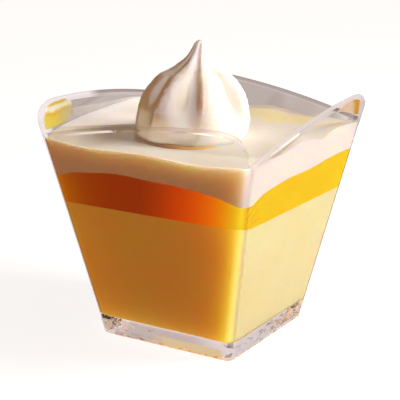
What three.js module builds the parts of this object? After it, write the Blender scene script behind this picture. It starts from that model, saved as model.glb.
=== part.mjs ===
// A layered panna cotta in its square dessert cup: a flared clear cup with a wavy rim, filled with
// yellow panna cotta, fruit jelly and white panna cotta, and topped with one piped meringue kiss.
// Millimetres, +Z up. The origin is the middle of the cup's underside.

import * as THREE from 'three';

// Driving dimensions: the cup.
const RIM_LOW = 60; // height of the rim at its four low corners
const WAVE_RISE = 8.5; // how far each wave of the rim stands above the low corners
const WAVE_PEAK = 0.86; // where along its wall each wave peaks, as a share of the wall
const WAVE_CLIMB = 1.7; // exponent of the slow climb to the peak
const WAVE_DROP = 2.25; // exponent of the round drop behind the peak
const FOOT_HALF = 21.5; // half of the outer width at the underside
const MOUTH_HALF = 33.6; // half of the outer width at the height of the low corners
const CORNER_RADIUS = 2.5; // upright corners, outside
const INNER_CORNER_RADIUS = 2.0; // upright corners, inside
const WALL = 1.2; // thickness of the walls
const FLOOR = 5.65; // thickness of the solid base
const FLOOR_FILLET = 1.2; // rounding between the floor and the walls
const FOOT_CHAMFER = 0.4; // broken edge round the underside
const FOOT_RING = 2.6; // width of the flat ring that the cup stands on
const FOOT_RECESS = 0.5; // depth of the hollow inside that ring

// Driving dimensions: the filling. Heights are above the underside of the cup.
const GAP = 0.3; // space left between pieces that touch
const JELLY_BOTTOM = 40.35;
const JELLY_BOTTOM_TILT = { x: 0.013, y: -0.02 }; // its rise for each millimetre
const JELLY_BOTTOM_LIFT = { x: 31, y: -31, height: 1.2, spread: 4 }; // its rise in the front corner
const JELLY_TOP = 51.4;
const JELLY_TOP_TILT = 0.012; // its rise for each millimetre along Y
const JELLY_WAVES = [
  { height: 0.6, x: 0.127, y: 0.006, phase: 2.27 },
  { height: 0.19, x: -0.286, y: 0.242, phase: -0.18 },
]; // heights, and radians for each millimetre
const JELLY_SAGS = [
  { x: 31, y: -31, height: -2.9, spread: 6.5 },
  { x: -31, y: -31, height: -2.1, spread: 5.5 },
]; // dips in two corners of the jelly's top
const FILL_LEVEL = 58.5; // middle of the white layer's top
const FILL_RIPPLE = 0.3; // unevenness of that top along the walls
const FILL_WAVE = { x: 0.21, y: 0.13 }; // radians for each millimetre along the walls
const FILL_LEFT = { climb: 3.0, fade: 0.9, fadePower: 2 }; // how far the white layer climbs that wall,
const FILL_RIGHT = { climb: 1.2, fade: 0.4, fadePower: 6 }; // and how the climb fades at the corners
const FILL_FRONT_DIP = -0.5; // its dip at the front wall
const FILL_WALL_POWER = 6; // how closely the climbs and the dip keep to the walls
const FILL_LAPS = [
  { x: 32, y: -6, height: 1.0, spread: 5.5 },
  { x: 32, y: 8, height: -1.4, spread: 4 },
  { x: 4, y: 32, height: 1.5, spread: 8 },
]; // where it laps higher or lower at the right and back walls

// Driving dimensions: the meringue kiss.
const KISS_CENTRE = { x: -0.4, y: -4.9 };
const KISS_FOOT_SHIFT = { x: -0.6, y: -0.9 }; // how far the foot spreads toward the front
const KISS_FOOT_TOP = 0.25; // share of the height above which it no longer does
const KISS_LEAN = { x: 1.28, y: 0.78 }; // how far the tip stands off the middle of the base
const KISS_LEAN_START = 0.65; // share of the height where the tip starts to lean
const KISS_FLUTES = 7;
const KISS_FIRST_CREST = THREE.MathUtils.degToRad(-52.8); // direction of one crest at the base
const KISS_TWIST = THREE.MathUtils.degToRad(13); // how far the crests turn on their way up
const KISS_TWIST_POWER = 2; // how late on that way they turn
const KISS_VALLEY = 2; // exponent that moves the bottom of each flute toward the next crest
const KISS_FLUTE_DEPTH = 0.2; // depth of the flutes, as a share of the radius
const KISS_FOOT_DEPTH = 0.03; // the same at the base, where the flutes run out
const KISS_FLUTE_START = 0.05; // shares of the height where the flutes set in
const KISS_FLUTE_FULL = 0.5; // and where they reach their full depth
const KISS_OUTLINE = [
  [15.3, 0], [15.9, 1.0], [16.2, 2.9], [16.3, 5.2], [15.7, 8.6], [13.9, 12.5], [10.6, 16.4],
  [6.9, 18.6], [3.8, 21.3], [2.4, 23.6], [1.4, 25.8], [0, 26.7],
]; // radius and height above the base

// How finely round shapes are divided.
const CORNER_STEPS = 3; // steps in half of an upright corner
const WALL_STEPS = 12; // steps along the straight part of a wall
const RIM_STEPS = 4; // steps round the rounded rim
const FILLET_STEPS = 2; // steps round the floor's fillet
const JELLY_BOTTOM_STEPS = 4; // rings from the wall to the middle of each surface of the filling
const JELLY_TOP_STEPS = 6;
const FILL_TOP_STEPS = 8;
const FLUTE_STEPS = 10; // steps across one flute of the meringue
const KISS_STEPS = 22; // steps up the meringue

const UP = new THREE.Vector3(0, 0, 1);
const QUARTER_TURN = Math.PI / 2;
const FLARE = (MOUTH_HALF - FOOT_HALF) / RIM_LOW; // growth of the half width with height

// Half of the cup's outer and inner width at a height.
const outerHalf = (z) => FOOT_HALF + FLARE * z;
const innerHalf = (z) => outerHalf(z) - WALL;

// Height of the rim above its low corners, where share runs from 0 to 1 along one wall.
function rimLift(share) {
  if (share <= WAVE_PEAK) return WAVE_RISE * (1 - (1 - share / WAVE_PEAK) ** WAVE_CLIMB);
  const past = (share - WAVE_PEAK) / (1 - WAVE_PEAK);
  return WAVE_RISE * Math.max(0, 1 - past ** WAVE_DROP) ** (1 / WAVE_DROP);
}

// Stations round the cup, counter-clockwise from above. Each wall runs from the middle of one corner
// to the middle of the next, and its steps are closer together near the corners.
function makeStations() {
  const halfArc = (CORNER_RADIUS * QUARTER_TURN) / 2;
  const straight = 2 * (MOUTH_HALF - CORNER_RADIUS);
  const length = straight + 2 * halfArc;
  const wall = [];
  for (let i = 0; i < CORNER_STEPS; i += 1) {
    const part = i / CORNER_STEPS;
    wall.push({ along: -1, turn: -QUARTER_TURN * (1.5 - part / 2), share: (part * halfArc) / length });
  }
  for (let i = 0; i <= WALL_STEPS; i += 1) {
    const along = -Math.cos((Math.PI * i) / WALL_STEPS);
    const share = (halfArc + (straight * (along + 1)) / 2) / length;
    wall.push({ along, turn: -QUARTER_TURN, share });
  }
  for (let i = 1; i < CORNER_STEPS; i += 1) {
    const part = i / CORNER_STEPS;
    const share = 1 - ((1 - part) * halfArc) / length;
    wall.push({ along: 1, turn: -QUARTER_TURN * (1 - part / 2), share });
  }
  return [0, 1, 2, 3].flatMap((quarter) => wall.map((station) => ({ ...station, quarter })));
}

const STATIONS = makeStations();

// The point of a rounded square of this half width and corner radius at one station.
function squarePoint(station, half, radius, z) {
  const reach = half - radius;
  const x = reach * station.along + radius * Math.cos(station.turn);
  const y = -reach + radius * Math.sin(station.turn);
  return new THREE.Vector3(x, y, z).applyAxisAngle(UP, station.quarter * QUARTER_TURN);
}

// A level ring of the rounded square.
function squareRing(half, radius, z) {
  return STATIONS.map((station) => squarePoint(station, half, radius, z));
}

// A closed body from rings of equally many points, listed from the underside outwards, up and over.
function skinRings(rings, startCentre, endCentre) {
  const count = rings[0].length;
  const points = [...rings.flat(), startCentre, endCentre];
  const start = points.length - 2;
  const end = points.length - 1;
  const last = (rings.length - 1) * count;
  const faces = [];
  for (let j = 0; j < count; j += 1) {
    const next = (j + 1) % count;
    faces.push(start, next, j);
    for (let i = 0; i < last; i += count) {
      faces.push(i + j, i + next, i + count + next);
      faces.push(i + j, i + count + next, i + count + j);
    }
    faces.push(end, last + j, last + next);
  }
  const geometry = new THREE.BufferGeometry().setFromPoints(points);
  geometry.setIndex(faces);
  geometry.computeVertexNormals();
  return geometry;
}

// The rings of the fillet between floor and wall, from the floor up, drawn in by an offset.
function filletRings(offset) {
  const centreHeight = FLOOR + FLOOR_FILLET;
  const centreHalf = innerHalf(centreHeight) - FLOOR_FILLET;
  const centreRadius = INNER_CORNER_RADIUS - FLOOR_FILLET;
  const reach = FLOOR_FILLET - offset;
  const rings = [];
  for (let i = FILLET_STEPS; i >= 0; i -= 1) {
    const angle = (QUARTER_TURN * i) / FILLET_STEPS;
    const out = reach * Math.cos(angle);
    rings.push(squareRing(centreHalf + out, centreRadius + out, centreHeight - reach * Math.sin(angle)));
  }
  return rings;
}

// The rounded rim: rings that follow the wave, from the outer face over to the inner face.
function rimRings() {
  const rings = [];
  const bead = WALL / 2;
  const middleRadius = (CORNER_RADIUS + INNER_CORNER_RADIUS) / 2;
  for (let i = 0; i <= RIM_STEPS; i += 1) {
    const angle = (Math.PI * i) / RIM_STEPS;
    rings.push(STATIONS.map((station) => {
      const centre = RIM_LOW + rimLift(station.share) - bead;
      const half = outerHalf(centre) - bead + bead * Math.cos(angle);
      const radius = middleRadius + ((CORNER_RADIUS - INNER_CORNER_RADIUS) / 2) * Math.cos(angle);
      return squarePoint(station, half, radius, centre + bead * Math.sin(angle));
    }));
  }
  return rings;
}

function makeCup() {
  const standHalf = FOOT_HALF - FOOT_CHAMFER;
  const hollowHalf = FOOT_HALF - FOOT_RING;
  const rings = [
    squareRing(hollowHalf - FOOT_RECESS, CORNER_RADIUS - FOOT_CHAMFER, FOOT_RECESS),
    squareRing(hollowHalf, CORNER_RADIUS - FOOT_CHAMFER, 0),
    squareRing(standHalf, CORNER_RADIUS - FOOT_CHAMFER, 0),
    squareRing(outerHalf(FOOT_CHAMFER), CORNER_RADIUS, FOOT_CHAMFER),
    ...rimRings(),
    ...filletRings(0).reverse(),
  ];
  return skinRings(rings, new THREE.Vector3(0, 0, FOOT_RECESS), new THREE.Vector3(0, 0, FLOOR));
}

// The sum of some dips and rises, each of which fades with the distance from its middle.
function sumBumps(x, y, bumps) {
  return bumps.reduce((sum, bump) => {
    const away = Math.hypot(x - bump.x, y - bump.y) / bump.spread;
    return sum + bump.height * Math.exp(-away * away);
  }, 0);
}

// The heights of the filling's three uneven surfaces over a point.
function jellyBottom(x, y) {
  const tilt = JELLY_BOTTOM_TILT.x * x + JELLY_BOTTOM_TILT.y * y;
  return JELLY_BOTTOM + tilt + sumBumps(x, y, [JELLY_BOTTOM_LIFT]);
}

function jellyTop(x, y) {
  const waves = JELLY_WAVES.reduce((sum, wave) => (
    sum + wave.height * Math.sin(wave.x * x + wave.y * y + wave.phase)), 0);
  return JELLY_TOP + JELLY_TOP_TILT * y + waves + sumBumps(x, y, JELLY_SAGS);
}

function fillTop(x, y) {
  const half = innerHalf(FILL_LEVEL);
  const outward = Math.min(1, (x * x + y * y) / (half * half));
  const ripple = FILL_RIPPLE * outward * Math.cos(FILL_WAVE.x * x + FILL_WAVE.y * (y + half));
  const side = x < 0 ? FILL_LEFT : FILL_RIGHT;
  const fade = 1 - side.fade * Math.abs(y / half) ** side.fadePower;
  const climb = side.climb * Math.abs(x / half) ** FILL_WALL_POWER * fade;
  const dip = y < 0 ? FILL_FRONT_DIP * Math.abs(y / half) ** FILL_WALL_POWER : 0;
  return FILL_LEVEL + ripple + climb + dip + sumBumps(x, y, FILL_LAPS);
}

// The ring where an uneven surface of the filling meets the cup's wall.
function edgeRing(heightAt, lift) {
  const radius = INNER_CORNER_RADIUS - GAP;
  return STATIONS.map((station) => {
    const nominal = heightAt(0, 0);
    const first = squarePoint(station, innerHalf(nominal) - GAP, radius, nominal);
    const z = heightAt(first.x, first.y) + lift;
    return squarePoint(station, innerHalf(z) - GAP, radius, z);
  });
}

// Rings that carry an uneven surface from its edge to near its middle, and the middle point.
function surfaceRings(edge, heightAt, lift, steps) {
  const rings = [];
  for (let i = 1; i < steps; i += 1) {
    const share = 1 - i / steps;
    rings.push(edge.map(({ x, y }) => (
      new THREE.Vector3(x * share, y * share, heightAt(x * share, y * share) + lift))));
  }
  return rings;
}

function middlePoint(heightAt, lift) {
  return new THREE.Vector3(0, 0, heightAt(0, 0) + lift);
}

// A layer between two uneven surfaces, held clear of what lies above it.
function makeLayer(below, above, clearAbove, belowSteps, aboveSteps) {
  const lowerEdge = edgeRing(below, GAP / 2);
  const upperEdge = edgeRing(above, -clearAbove);
  const rings = [
    ...surfaceRings(lowerEdge, below, GAP / 2, belowSteps).reverse(),
    lowerEdge,
    upperEdge,
    ...surfaceRings(upperEdge, above, -clearAbove, aboveSteps),
  ];
  return skinRings(rings, middlePoint(below, GAP / 2), middlePoint(above, -clearAbove));
}

// The bottom layer, which stands on the cup's rounded floor.
function makeBottomLayer(above, steps) {
  const upperEdge = edgeRing(above, -GAP / 2);
  const rings = [
    ...filletRings(GAP),
    upperEdge,
    ...surfaceRings(upperEdge, above, -GAP / 2, steps),
  ];
  return skinRings(rings, new THREE.Vector3(0, 0, FLOOR + GAP), middlePoint(above, -GAP / 2));
}

// The meringue kiss: a bulb drawn up to a leaning tip, with flutes between sharp crests.
function makeKiss() {
  const outline = new THREE.SplineCurve(KISS_OUTLINE.map(([radius, height]) => (
    new THREE.Vector2(radius, height))));
  const tip = KISS_OUTLINE[KISS_OUTLINE.length - 1][1];
  const base = FILL_LEVEL + GAP;
  const count = KISS_FLUTES * FLUTE_STEPS;
  const rings = [];
  for (let i = 0; i < KISS_STEPS; i += 1) {
    const { x: radius, y: height } = outline.getPointAt(i / KISS_STEPS);
    const up = THREE.MathUtils.clamp(height / tip, 0, 1);
    const lean = Math.max(0, (up - KISS_LEAN_START) / (1 - KISS_LEAN_START));
    const fluted = THREE.MathUtils.smoothstep(up, KISS_FLUTE_START, KISS_FLUTE_FULL);
    const depth = THREE.MathUtils.lerp(KISS_FOOT_DEPTH, KISS_FLUTE_DEPTH, fluted);
    const turn = KISS_FIRST_CREST + KISS_TWIST * up ** KISS_TWIST_POWER;
    const spread = 1 - THREE.MathUtils.smoothstep(up, 0, KISS_FOOT_TOP);
    const centreX = KISS_CENTRE.x + KISS_LEAN.x * lean + KISS_FOOT_SHIFT.x * spread;
    const centreY = KISS_CENTRE.y + KISS_LEAN.y * lean + KISS_FOOT_SHIFT.y * spread;
    rings.push(Array.from({ length: count }, (_, j) => {
      const across = (j % FLUTE_STEPS) / FLUTE_STEPS;
      const flute = Math.sin(Math.PI * across ** KISS_VALLEY);
      const reach = radius * (1 - depth * flute);
      const angle = turn + (2 * Math.PI * j) / count;
      const x = centreX + reach * Math.cos(angle);
      const y = centreY + reach * Math.sin(angle);
      return new THREE.Vector3(x, y, base + Math.max(0, height));
    }));
  }
  const foot = new THREE.Vector3(KISS_CENTRE.x, KISS_CENTRE.y, base);
  const point = new THREE.Vector3(KISS_CENTRE.x + KISS_LEAN.x, KISS_CENTRE.y + KISS_LEAN.y, base + tip);
  return skinRings(rings, foot, point);
}

function makePiece(name, geometry, material) {
  const mesh = new THREE.Mesh(geometry, new THREE.MeshStandardMaterial(material));
  mesh.name = name;
  return mesh;
}

const dessert = new THREE.Group();
dessert.add(
  makePiece('cup', makeCup(), {
    color: 0xe9e4e6, roughness: 0.06, metalness: 0, transparent: true, opacity: 0.35,
  }),
  makePiece('yellow_panna_cotta', makeBottomLayer(jellyBottom, JELLY_BOTTOM_STEPS), {
    color: 0xf8e096, roughness: 0.45, metalness: 0,
  }),
  makePiece('fruit_jelly', makeLayer(jellyBottom, jellyTop, GAP / 2, JELLY_BOTTOM_STEPS, JELLY_TOP_STEPS), {
    color: 0xf2ae1e, roughness: 0.25, metalness: 0,
  }),
  makePiece('white_panna_cotta', makeLayer(jellyTop, fillTop, 0, JELLY_TOP_STEPS, FILL_TOP_STEPS), {
    color: 0xf6e8d6, roughness: 0.4, metalness: 0,
  }),
  makePiece('meringue_kiss', makeKiss(), {
    color: 0xfbf7f2, roughness: 0.7, metalness: 0,
  }),
);

export default dessert;
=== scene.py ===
import math
from collections import namedtuple

import bmesh
import bpy
from bpy.props import FloatProperty, FloatVectorProperty, IntProperty, PointerProperty
from mathutils import Matrix, Vector, noise


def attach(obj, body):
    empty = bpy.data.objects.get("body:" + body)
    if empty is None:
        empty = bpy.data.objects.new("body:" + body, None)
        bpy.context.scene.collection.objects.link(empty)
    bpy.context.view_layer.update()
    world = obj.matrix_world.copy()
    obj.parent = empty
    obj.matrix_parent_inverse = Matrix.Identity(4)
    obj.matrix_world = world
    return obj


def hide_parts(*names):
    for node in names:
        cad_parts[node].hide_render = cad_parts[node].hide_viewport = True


bl_info = {
    "name": "Layered Panna Cotta",
    "version": (1, 0, 0),
    "blender": (4, 5, 0),
    "location": "View3D > Sidebar > Dessert",
    "description": "Builds a layered panna cotta in its clear cup, and the studio round it",
    "category": "Object",
}

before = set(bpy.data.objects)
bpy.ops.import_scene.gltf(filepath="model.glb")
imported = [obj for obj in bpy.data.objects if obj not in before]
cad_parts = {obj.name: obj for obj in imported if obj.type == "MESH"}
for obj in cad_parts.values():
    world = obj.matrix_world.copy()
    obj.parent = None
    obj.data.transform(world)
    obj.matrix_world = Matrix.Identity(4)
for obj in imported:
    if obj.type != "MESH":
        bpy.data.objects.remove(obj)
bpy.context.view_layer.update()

MM = 0.001  # one millimetre, in Blender's metres
QUARTER = math.pi / 2
SMOOTH_ANGLE = math.radians(32)

# How finely round shapes are divided.
CORNER_STEPS = 8
WALL_STEPS = 48
RIM_STEPS = 10
FILLET_STEPS = 6
EDGE_STEPS = 16
SURFACE_STEPS = 26
SURFACE_CROWD = 1.6  # how much closer together the rings of a surface stand near its edge
FLUTE_STEPS = 24
KISS_STEPS = 110
BEAD_STEPS = 10
FILM_STEPS = 5
SYRUP_STEPS = 48
DISC_RADIUS = 10 * MM  # of the disc that a body starts from, before its points are placed
HOLD = 0.15 * MM  # how close a ring stands to a rounding, to keep the face beside it flat
RIM_DROPS = (0.5 * MM, 2.5 * MM)  # how far below the rounded rim two more rings stand

# A place round the cup: how far along a wall from -1 to 1, which way it faces, its share of that wall
# from corner to corner, and the wall's number.
Station = namedtuple("Station", "along turn share quarter")

# The wave that the rim makes along each wall.
WAVE_PEAK = 0.86
WAVE_CLIMB = 1.7
WAVE_DROP = 2.25

# The uneven surfaces of the filling: waves in radians per metre, and dips and rises that fade all round.
Wave = namedtuple("Wave", "height x y phase")
Bump = namedtuple("Bump", "x y height spread")
Side = namedtuple("Side", "climb fade power")
JELLY_BOTTOM_TILT = (0.013, -0.02)
JELLY_BOTTOM_LIFT = (Bump(31 * MM, -31 * MM, 1.2 * MM, 4 * MM),)
JELLY_TOP_TILT = 0.012
JELLY_WAVES = (
    Wave(0.6 * MM, 0.127 / MM, 0.006 / MM, 2.27),
    Wave(0.19 * MM, -0.286 / MM, 0.242 / MM, -0.18),
)
JELLY_SAGS = (Bump(31 * MM, -31 * MM, -2.9 * MM, 6.5 * MM), Bump(-31 * MM, -31 * MM, -2.1 * MM, 5.5 * MM))
FILL_WAVE = (0.21 / MM, 0.13 / MM)
FILL_LEFT = Side(3.0 * MM, 0.9, 2)
FILL_RIGHT = Side(1.2 * MM, 0.4, 6)
FILL_FRONT_DIP = -0.5 * MM
FILL_WALL_POWER = 6
FILL_LAPS = (
    Bump(32 * MM, -6 * MM, 1.0 * MM, 5.5 * MM),
    Bump(32 * MM, 8 * MM, -1.4 * MM, 4 * MM),
    Bump(4 * MM, 32 * MM, 1.5 * MM, 8 * MM),
)
LIP_REACH = 0.7 * MM
DIMPLE_HEIGHT = 0.12 * MM
DIMPLE_SIZE = 7 * MM
SEAM_REACH = 4 * MM  # how far from a seam the light soaks in fully
TURNED_UP = (0.3, 0.8)  # how far a face turns up, from the last of a side to the first of a top

# The side view of the meringue: radius and height above its foot, in millimetres.
KISS_OUTLINE = (
    (15.3, 0), (15.9, 1.0), (16.2, 2.9), (16.3, 5.2), (15.7, 8.6), (13.9, 12.5), (10.6, 16.4),
    (6.9, 18.6), (3.8, 21.3), (2.4, 23.6), (1.4, 25.8), (0, 26.7),
)
KISS_LIFT = 0.3 * MM  # how far the foot starts above the fill level
TWIST_POWER = 2
FOOT_TOP = 0.25  # share of the height where the foot's spread ends
CREST_ROUND = 0.10  # how round the crests are
WOBBLE = 0.16 * MM
WOBBLE_SIZE = 5 * MM
WOBBLE_EASE = (4, 6)  # how fast the wobble sets in above the foot and dies out below the tip
TEAR = 0.22 * MM
TEAR_SIZE = 0.8 * MM
TEAR_WIDTH = 0.35
TEAR_RISE = (0.12, 0.3)  # shares of the height where the tears set in and are full
TEAR_FALL = (0.7, 0.85)  # and where they fade

# The thin sheets with painted reflections: rings by share and by lift off the wall, and outlines along and up
# it, in millimetres.
FILM_RINGS = ((0.98, -0.04), (1.0, 0.03), (0.985, 0.1), (0.95, 0.14), (0.8, 0.16), (0.5, 0.17), (0.25, 0.17))
LEFT_FILM = (
    (-31.6, 61.2), (-31.6, 62.6), (-31.2, 63.8), (-30.5, 65.0), (-29.8, 66.1), (-28.3, 67.0), (-26.0, 67.5),
    (-22.5, 67.7), (-20.4, 67.5), (-19.3, 66.9), (-17.8, 66.2), (-18.4, 64.2), (-19.2, 62.5), (-21.2, 61.5),
    (-24.0, 61.1), (-27.5, 60.9), (-30.4, 60.8),
)
RIGHT_FILM = (
    (14.0, 65.6), (19.0, 67.0), (24.4, 67.3), (28.2, 66.6), (30.2, 65.2), (31.5, 63.2), (31.7, 61.7),
    (29.5, 62.0), (25.5, 62.9), (20.5, 64.3), (16.1, 65.3),
)
CREAM_FILM = (
    (-17.4, 64.4), (-12.2, 64.1), (-6.4, 63.7), (1.1, 63.1), (10.9, 62.5), (13.6, 62.0), (12.7, 61.5),
    (7.3, 61.4), (-1.2, 61.5), (-8.9, 61.4), (-16.0, 61.4), (-17.8, 62.8),
)

# The thread of syrup: where it runs round the meringue's foot, and how it swells.
SYRUP_START = math.radians(-128)
SYRUP_END = math.radians(-30)
SYRUP_HEIGHT = 0.8 * MM
SYRUP_WIDTH = 0.8 * MM
SYRUP_THIN = 0.03 * MM
SYRUP_SWELL = 0.6  # how blunt its ends are, less being blunter
SYRUP_WAVER = 0.25
SYRUP_WAVES = 7
SYRUP_OFFSET = 0.1 * MM

# Planes through the camera and a rim: what lies beyond them is seen over the rim or through the wall, and
# gets painted light on the cream's top.
RIM_SIGHT = (-0.158, 0.1725, 0.9723, -59.57)
RIGHT_SIGHT = (0.703, 0.1596, -0.6931, 19.38)
SHADOW_WAY = (-0.407, 0.914, 0, 4.9)  # across the meringue's shadow

BLACK = (0.0, 0.0, 0.0)
WHITE = (1.0, 1.0, 1.0)

# Ways that parts of the meringue face, and the painted light, a glow, put on the parts that face them.
CREST_WAY = (0.19, -0.87, 0.46)
CREST_LIGHT = (0.20, 0.21, 0.25)
FOOT_WAY = (-0.12, -0.98, 0.16)
FOOT_LIGHT = (0.28, 0.25, 0.18)
TIP_WAY = (0.45, -0.83, 0.33)
TIP_LIGHT = (0.09, 0.15, 0.26)

# The cup's base and its rim, whose colours paint reflections, shade and glow seen in them.
BASE_LEFT = (0.52, 0.46, 0.42)
BASE_RIGHT = (0.97, 1.0, 1.0)
BASE_DARK = (0.36, 0.29, 0.27)
BASE_YELLOW = (0.86, 0.64, 0.22)
RIM_CLEAR = 0.9  # share of the light that the thin rim lets straight through
EDGE_CLEAR = 0.97  # the same at the outline of the walls
RIM_GLOW = (0.86, 0.76, 0.73)  # painted glow of the right wall's rim
RIM_TINT = (0.97, 0.95, 0.965)
RIM_LINE = (0.82, 0.77, 0.79)  # painted darker line where the rim turns away
RIM_FAR = (0.62, 0.57, 0.56)  # painted grey reflection of the rim at the back
RIM_SHADE = (0.50, 0.42, 0.41)  # painted shade where that turns away

# The streaks of the painted reflection on the left wall: how far up it each lies, and its colour.
STREAKS = (
    (0.1, (0.62, 0.52, 0.09)),
    (0.42, (0.62, 0.50, 0.07)),
    (0.56, (0.62, 0.40, 0.015)),
    (0.69, (0.72, 0.72, 0.55)),
    (0.79, (0.74, 0.70, 0.44)),
    (0.88, (0.50, 0.34, 0.04)),
    (1.0, (0.70, 0.60, 0.14)),
)

# The studio and the camera.
FLOOR_SIZE = 6.0
FLOOR_GLOW = 0.86
LIGHT_DISTANCE = 0.6
LIGHT_SIZE = 0.22
KEY_AZIMUTH = math.radians(114)
KEY_ELEVATION = math.radians(40)
SIDE_AZIMUTH = math.radians(98)
SIDE_ELEVATION = math.radians(10)
TARGET = Vector((0, 0, 30 * MM))
CAMERA_AZIMUTH = math.radians(30.7305)
CAMERA_ELEVATION = math.radians(17.4864)
CAMERA_ROLL = math.radians(0.502)
CAMERA_DISTANCE = 399.49 * MM
IMAGE_WIDTH = 400
FOCAL_PIXELS = 1379.6
SENSOR_WIDTH = 36
CLIP_START = 0.01
TARGET_PIXEL = (204.295, 226.621)


# Sizes and colours.


def length_field(name, description, default):
    """A length, with its default in millimetres."""
    return FloatProperty(name=name, description=description, default=default * MM, unit="LENGTH")


def ground_field(name, description, *default):
    """A place or a way on the ground, with its default in millimetres."""
    default = [value * MM for value in default]
    return FloatVectorProperty(name=name, description=description, size=2, default=default, unit="LENGTH")


def share_field(name, description, default):
    return FloatProperty(name=name, description=description, default=default, subtype="FACTOR")


def angle_field(name, description, degrees):
    return FloatProperty(name=name, description=description, default=math.radians(degrees), subtype="ANGLE")


def power_field(name, description, default):
    return FloatProperty(name=name, description=description, default=default, unit="POWER")


def colour_field(name, description, *default):
    return FloatVectorProperty(name=name, description=description, default=default, subtype="COLOR")


class CupSizes(bpy.types.PropertyGroup):
    rim_low: length_field("Low Rim", "Height of the rim at its four low corners", 60)
    wave_rise: length_field("Wave Rise", "How far each wave of the rim stands up", 8.5)
    foot_half: length_field("Foot", "Half of the width at the underside", 21.5)
    mouth_half: length_field("Mouth", "Half of the width at the low corners", 33.6)
    corner: length_field("Corner Radius", "Rounding of the upright corners", 2.5)
    inner_corner: length_field("Inner Corner Radius", "The same inside", 2.0)
    wall: length_field("Wall", "Thickness of the walls", 1.2)
    floor: length_field("Base", "Thickness of the solid base", 5.65)
    fillet: length_field("Floor Fillet", "Rounding of the floor's edge", 1.2)
    chamfer: length_field("Foot Chamfer", "Broken edge of the underside", 0.4)
    foot_ring: length_field("Foot Ring", "Width of the ring it stands on", 2.6)
    recess: length_field("Foot Recess", "Depth of the hollow in that ring", 0.5)


class FillingSizes(bpy.types.PropertyGroup):
    jelly_bottom: length_field("Jelly Bottom", "Height of the jelly's underside", 40.35)
    jelly_top: length_field("Jelly Top", "Height of the jelly's top", 51.4)
    fill_level: length_field("Fill Level", "Height of the white layer's top", 58.5)
    fill_ripple: length_field("Fill Ripple", "Unevenness of that top at the walls", 0.3)
    meniscus: length_field("Meniscus", "Height of the thin lip against the wall", 0.45)
    into_wall: length_field("Into Wall", "How far the filling reaches into the cup", 0.07)
    seam: length_field("Seam", "Space between two layers", 0.02)


class KissSizes(bpy.types.PropertyGroup):
    centre: ground_field("Centre", "Middle of the meringue's foot", -0.4, -4.9)
    foot_shift: ground_field("Foot Shift", "How far the foot spreads", -0.6, -0.9)
    lean: ground_field("Lean", "How far the tip stands off", 1.28, 0.78)
    lean_start: share_field("Lean Start", "Share of the height where the lean starts", 0.65)
    flutes: IntProperty(name="Flutes", description="Number of flutes round the meringue", default=7)
    first_crest: angle_field("First Crest", "Direction of one crest at the foot", -52.8)
    twist: angle_field("Twist", "How far the crests turn on their way up", 13)
    valley: FloatProperty(
        name="Valley",
        description="Exponent that moves each flute's bottom toward the next crest",
        default=2.0,
    )
    depth: share_field("Flute Depth", "Depth of the flutes as a share of the radius", 0.20)
    foot_depth: share_field("Foot Depth", "The same at the foot", 0.03)
    flute_start: share_field("Flute Start", "Share of the height where the flutes set in", 0.05)
    flute_full: share_field("Flute Full", "Share of the height with full depth", 0.5)
    sink: length_field("Sink", "How far the foot sinks into the cream", 0.5)


class FinishColours(bpy.types.PropertyGroup):
    glass: colour_field("Cup", "Tint of the clear cup", 0.95, 0.94, 0.93)
    yellow: colour_field("Yellow Panna Cotta", "The bottom layer", 0.97, 0.91, 0.57)
    jelly: colour_field("Fruit Jelly", "The middle layer", 0.955, 0.70, 0.018)
    cream: colour_field("White Panna Cotta", "The sides of the top layer", 0.95, 0.94, 0.93)
    # The open top is darker and yellower than the sides: painted shade.
    cream_top: colour_field("Cream Top Shade", "The open top of that layer", 0.75, 0.715, 0.625)
    meringue: colour_field("Meringue", "The piped kiss", 0.94, 0.91, 0.87)
    # A yellow band on the cream's top along the back wall.
    back_band: colour_field("Back Band", "Juice soaked into the cream", 0.80, 0.70, 0.34)
    # The syrup's two colours are painted shade and painted light along its length.
    syrup_painted_shade: colour_field("Syrup Painted Shade", "Syrup in the shade at the meringue's foot", 0.42, 0.16, 0.03)
    syrup_painted_light: colour_field("Syrup Painted Light", "Its lit end", 0.78, 0.47, 0.10)


class StudioSettings(bpy.types.PropertyGroup):
    key_power: power_field("Key Light", "Strength of the high softbox", 3.7)
    side_power: power_field("Side Light", "Strength of the low softbox", 1.4)
    key_tint: colour_field("Light Tint", "Colour of both softboxes", 1.0, 0.985, 0.96)
    ambient_low: colour_field("Low Ambient", "Light from below that fills the shade", 0.385, 0.137, 0.012)
    ambient_high: colour_field("High Ambient", "The same from above", 0.225, 0.112, 0.042)
    surround: colour_field("Surround", "What shows in the base and the rim", 0.98, 0.90, 0.87)
    card: colour_field("Grey Card", "What shows through the walls from the front", 0.50, 0.43, 0.40)
    mirrored: colour_field("Mirrored", "What the walls mirror, from below", 0.055, 0.028, 0.003)
    mirrored_level: colour_field("Level Mirrored", "What the rim mirrors, from the sides", 0.80, 0.72, 0.68)
    backdrop: colour_field("Backdrop", "Floor and background", 0.985, 0.983, 0.98)


# Shapes of the cup and of the filling.


def outer_half(z):
    """Half of the cup's outer width at a height."""
    cup = bpy.context.scene.dessert_cup
    return cup.foot_half + (cup.mouth_half - cup.foot_half) * z / cup.rim_low


def inner_half(z):
    return outer_half(z) - bpy.context.scene.dessert_cup.wall


def rim_lift(share):
    """Height of the rim above its low corners, where share runs from 0 to 1 along one wall."""
    rise = bpy.context.scene.dessert_cup.wave_rise
    if share <= WAVE_PEAK:
        return rise * (1 - (1 - share / WAVE_PEAK) ** WAVE_CLIMB)
    past = (share - WAVE_PEAK) / (1 - WAVE_PEAK)
    return rise * max(0, 1 - past**WAVE_DROP) ** (1 / WAVE_DROP)


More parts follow.
